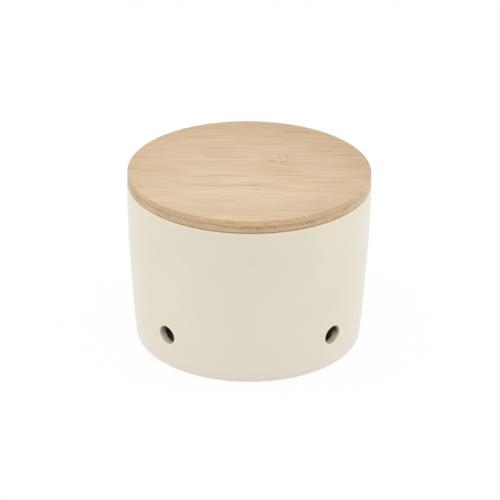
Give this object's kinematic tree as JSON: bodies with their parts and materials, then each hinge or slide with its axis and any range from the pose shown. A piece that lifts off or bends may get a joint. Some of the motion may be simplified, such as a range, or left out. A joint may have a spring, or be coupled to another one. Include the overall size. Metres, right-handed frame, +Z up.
{
  "type": "garlic keeper",
  "caption": "Round glazed stoneware keeper for garlic, with vent holes low in its side and a laminated bamboo lid on a silicone ring that lifts out of the mouth.",
  "frame": {"origin": "centre of the foot, on the table that the keeper stands on", "axes": "+Z up along the pot's axis; the vents lie on +X, +Y, -X and -Y"},
  "size_m": [0.13, 0.13, 0.0968],
  "materials": {
    "stoneware": "satin",
    "bamboo_face": "satin",
    "bamboo_core": "matte",
    "silicone": "satin"
  },
  "bodies": {
    "pot": {"pot": "stoneware"},
    "seal": {"seal_ring": "silicone"},
    "lid": {"face_strip_1": "bamboo_face", "face_strip_2": "bamboo_face", "face_strip_3": "bamboo_face", "face_strip_4": "bamboo_face", "face_strip_5": "bamboo_face", "face_strip_6": "bamboo_face", "face_strip_7": "bamboo_face", "core_strip_1": "bamboo_core", "core_strip_2": "bamboo_core", "core_strip_3": "bamboo_core", "core_strip_4": "bamboo_core", "core_strip_5": "bamboo_core", "plug_strip_1": "bamboo_face", "plug_strip_2": "bamboo_face", "plug_strip_3": "bamboo_face", "plug_strip_4": "bamboo_face", "plug_strip_5": "bamboo_face"}
  },
  "joints": [
    {"name": "lid_lift", "type": "slide", "parent": "pot", "child": "seal", "axis": [0, 0, 1], "range_m": [0, 0.1]},
    {"name": "lid_turn", "type": "hinge", "parent": "seal", "child": "lid", "pos_m": [0, 0, 0.0898], "axis": [0, 0, 1], "continuous": true}
  ]
}
